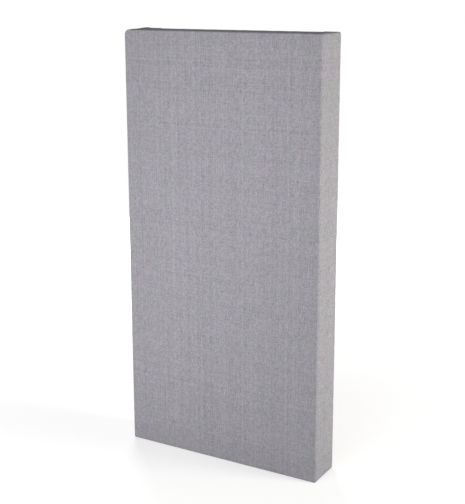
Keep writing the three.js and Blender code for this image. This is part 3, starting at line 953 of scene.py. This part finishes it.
def plywood_material(name, thick_axis, grain_axis):
    """Birch plywood: plies that take turns on the edges, and a long grain on the faces."""
    material, tree, shader = new_material(name)
    place = object_place(tree)
    scale = tuple(PLY_SCALE_ALONG if axis == grain_axis else PLY_SCALE_ACROSS for axis in "XYZ")
    fibres = grain_noise(tree, place, scale, detail=4.0)
    clouds = grain_noise(tree, place, PLY_CLOUD_SCALE, detail=2.0)
    unevenness = grain_noise(tree, place, UNEVENNESS_SCALE, detail=1.0)
    level = add(tree, "ShaderNodeSeparateXYZ", {0: place}).outputs[thick_axis]
    uneven_level = calc(tree, "MULTIPLY_ADD", unevenness, PLY_UNEVENNESS, level)
    plies = calc(tree, "PINGPONG", calc(tree, "DIVIDE", uneven_level, PLY_THICKNESS), 1.0)
    dark_ply = calc(tree, "GREATER_THAN", plies, 0.5)
    tone = calc(tree, "MULTIPLY", clouds, PLY_CLOUD_SHARE)
    tone = calc(tree, "MULTIPLY_ADD", fibres, PLY_FIBRE_SHARE, tone)
    tone = calc(tree, "MULTIPLY_ADD", dark_ply, DARK_PLY_SHARE, tone)
    roughness = calc(tree, "MULTIPLY_ADD", fibres, PLY_FIBRE_ROUGHNESS, PLY_ROUGHNESS)
    colour = ramp(tree, tone, PLY_STOPS)
    rough_surface(tree, shader, colour, tone, PLY_RELIEF, roughness, relief_share=0.5)
    return material


SPANGLE_SCALE = 220.0
SPANGLE_ROUGHNESS = 0.15
SCUFF_SCALE = (2600.0, 400.0, 300.0)
SCUFF_ROUGHNESS = 0.3
STEEL_ROUGHNESS = 0.15
STEEL_RELIEF = 0.02 * MM
STEEL_STOPS = ((0.3, screen_colour(150, 153, 159)), (0.7, screen_colour(198, 199, 199)))


def steel_material():
    """Bright zinc plate, with faint spangle and rubbed spots."""
    material, tree, shader = new_material("zinc_plated_steel")
    place = object_place(tree)
    spangle = grain_noise(tree, place, SPANGLE_SCALE, detail=3.0)
    scuffs = grain_noise(tree, place, SCUFF_SCALE, detail=2.0)
    roughness = calc(tree, "MULTIPLY_ADD", spangle, SPANGLE_ROUGHNESS, STEEL_ROUGHNESS)
    roughness = calc(tree, "MULTIPLY_ADD", scuffs, SCUFF_ROUGHNESS, roughness)
    colour = ramp(tree, spangle, STEEL_STOPS)
    rough_surface(tree, shader, colour, scuffs, STEEL_RELIEF, roughness, relief_share=0.3)
    shader.inputs["Metallic"].default_value = 1.0
    return material


DUST_SCALE = 260.0
DUST_ROUGHNESS = 0.3
PIT_SCALE = 1800.0
RUBBER_ROUGHNESS = 0.5
RUBBER_RELIEF = 0.05 * MM
RUBBER_STOPS = ((0.35, screen_colour(26, 26, 28)), (0.75, screen_colour(58, 57, 57)))


def rubber_material():
    """Black rubber with fine pits and a little dust."""
    material, tree, shader = new_material("black_rubber")
    place = object_place(tree)
    dust = grain_noise(tree, place, DUST_SCALE, detail=4.0)
    pits = grain_noise(tree, place, PIT_SCALE, detail=2.0)
    roughness = calc(tree, "MULTIPLY_ADD", dust, DUST_ROUGHNESS, RUBBER_ROUGHNESS)
    colour = ramp(tree, dust, RUBBER_STOPS)
    rough_surface(tree, shader, colour, pits, RUBBER_RELIEF, roughness, relief_share=0.4)
    return material


# The studio: a white floor and background, and soft lamps whose levels are shares of plain light.
# The floor's glow is seen but lights nothing. It is less near the object, where its shadow shows.

FLOOR_REACH = 14.0
FLOOR_STEPS = 8
FLOOR_TONE = 0.55
FLOOR_GLOW_NEAR = 0.54
FLOOR_GLOW_FAR = 0.87
GLOW_NEAR_REACH = 0.5
GLOW_FAR_REACH = 2.4
AMBIENT = 0.25
WHITE = (1.0, 1.0, 1.0)
SIDE_TINT = (1.0, 0.985, 0.91)
LAMP_TARGET = Vector((0, 0, 0.7))

Lamp = namedtuple("Lamp", "name place size level tint in_mirrors")
LAMPS = (
    Lamp("front_high_lamp", (0.09, -1.14, 1.12), 1.1, 0.506, WHITE, True),
    Lamp("front_low_lamp", (-0.4, -1.13, 0.21), 1.1, 0.516, WHITE, True),
    Lamp("side_lamp", (2.1, 0.4, 0.78), 0.7, 0.72, SIDE_TINT, True),
    Lamp("back_lamp", (-2.0, 2.4, 1.1), 1.4, 0.85, WHITE, False),
)


def make_lamp(lamp):
    """A level of 1 lights a surface that faces the lamp so that its colour shows as written."""
    data = bpy.data.lights.new(lamp.name, "AREA")
    data.shape = "DISK"
    data.size = lamp.size
    data.color = lamp.tint
    reach = LAMP_TARGET - Vector(lamp.place)
    data.energy = lamp.level * (math.pi * reach.length) ** 2
    made = bpy.data.objects.new(lamp.name, data)
    made.location = lamp.place
    made.rotation_euler = reach.to_track_quat("-Z", "Y").to_euler()
    made.visible_camera = False
    made.visible_glossy = lamp.in_mirrors
    bpy.context.scene.collection.objects.link(made)


def seen_share(tree):
    """1 for what the camera sees, also in a mirror or through glass, and 0 for other light."""
    path = add(tree, "ShaderNodeLightPath")
    seen = calc(tree, "MAXIMUM", path.outputs["Is Camera Ray"], path.outputs["Is Glossy Ray"])
    return calc(tree, "MAXIMUM", seen, path.outputs["Is Transmission Ray"])


def make_world():
    world = bpy.data.worlds.new("studio")
    world.use_nodes = True
    tree = world.node_tree
    background = tree.nodes["Background"]
    background.inputs["Color"].default_value = (*WHITE, 1)
    strength = calc(tree, "MULTIPLY_ADD", seen_share(tree), 1 - AMBIENT, AMBIENT)
    tree.links.new(strength, background.inputs["Strength"])
    bpy.context.scene.world = world


def make_floor():
    material, tree, shader = new_material("studio_floor")
    shader.inputs["Base Color"].default_value = (FLOOR_TONE, FLOOR_TONE, FLOOR_TONE, 1)
    shader.inputs["Roughness"].default_value = 1.0
    shader.inputs["Specular IOR Level"].default_value = 0.0
    shader.inputs["Emission Color"].default_value = (*WHITE, 1)
    length = add(tree, "ShaderNodeVectorMath", {0: object_place(tree)}, operation="LENGTH")
    inputs = {
        "Value": length.outputs["Value"],
        "From Min": GLOW_NEAR_REACH,
        "From Max": GLOW_FAR_REACH,
        "To Min": FLOOR_GLOW_NEAR,
        "To Max": FLOOR_GLOW_FAR,
    }
    level = add(tree, "ShaderNodeMapRange", inputs, interpolation_type="SMOOTHSTEP")
    glow = calc(tree, "MULTIPLY", seen_share(tree), level.outputs["Result"])
    tree.links.new(glow, shader.inputs["Emission Strength"])
    bm = bmesh.new()
    bmesh.ops.create_grid(bm, x_segments=FLOOR_STEPS, y_segments=FLOOR_STEPS, size=FLOOR_REACH)
    mesh = bpy.data.meshes.new("studio_floor")
    bm.to_mesh(mesh)
    bm.free()
    mesh.materials.append(material)
    floor = bpy.data.objects.new("studio_floor", mesh)
    bpy.context.scene.collection.objects.link(floor)


# Putting it together


def finish_nodes(names, material):
    for name in names:
        for slot in nodes[name].material_slots:
            slot.material = material


cloth = cloth_material()
foam = foam_material()
steel = steel_material()
crown = pressed_front()
cover, cloth_run = cover_piece(crown, cloth)
staples = staples_piece(steel)

battens = ["hanging_batten", "middle_batten", "lower_batten"]
batten_boxes = [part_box(name) for name in battens]


def swell(x, z, i, j):
    """The rear foam stands proud between the battens, and lies flat against them."""
    across = smooth_step(min(i, X_STEPS - i) / SWELL_SIDE_STEPS)
    nearest = min(z - CROWN_INSET, TOP - CROWN_INSET - z)
    for low, high in batten_boxes:
        nearest = min(nearest, max(low.z - z, z - high.z, 0.0))
    lumps = FOAM_UNEVENNESS * noise.noise(Vector((x, 0, z)) / FOAM_LUMP_LENGTH)
    return (FOAM_SWELL * smooth_step(nearest / SWELL_REACH) + lumps) * across


foam_piece("foam_front", "foam_front_slab", foam, lambda x, z, i, j: crown[i, j], None)
foam_piece("foam_rear", "foam_rear_slab", foam, None, swell)

# The frame's boards, screws, plates, gussets and bumpers, and their materials
stiles = ["frame_left_stile", "frame_right_stile"]
rails = ["frame_top_rail", "frame_bottom_rail"]

screws = [name for name in nodes if "_screw_" in name]
plates = ["keyhole_plate_left", "keyhole_plate_right"]
gussets = [name for name in nodes if name.startswith("gusset_") and name not in screws]
bumpers = [name for name in nodes if name.startswith("bumper_")]
finish_nodes(stiles, plywood_material("plywood_stile", thick_axis="X", grain_axis="Z"))
finish_nodes(rails, plywood_material("plywood_rail", thick_axis="Z", grain_axis="X"))
finish_nodes(gussets, plywood_material("plywood_gusset", thick_axis="Y", grain_axis="X"))
finish_nodes(battens, timber_material())
finish_nodes(plates + screws, steel)
finish_nodes(bumpers, rubber_material())

make_world()
make_floor()
for lamp in LAMPS:
    make_lamp(lamp)
bpy.context.scene.view_settings.view_transform = "Standard"
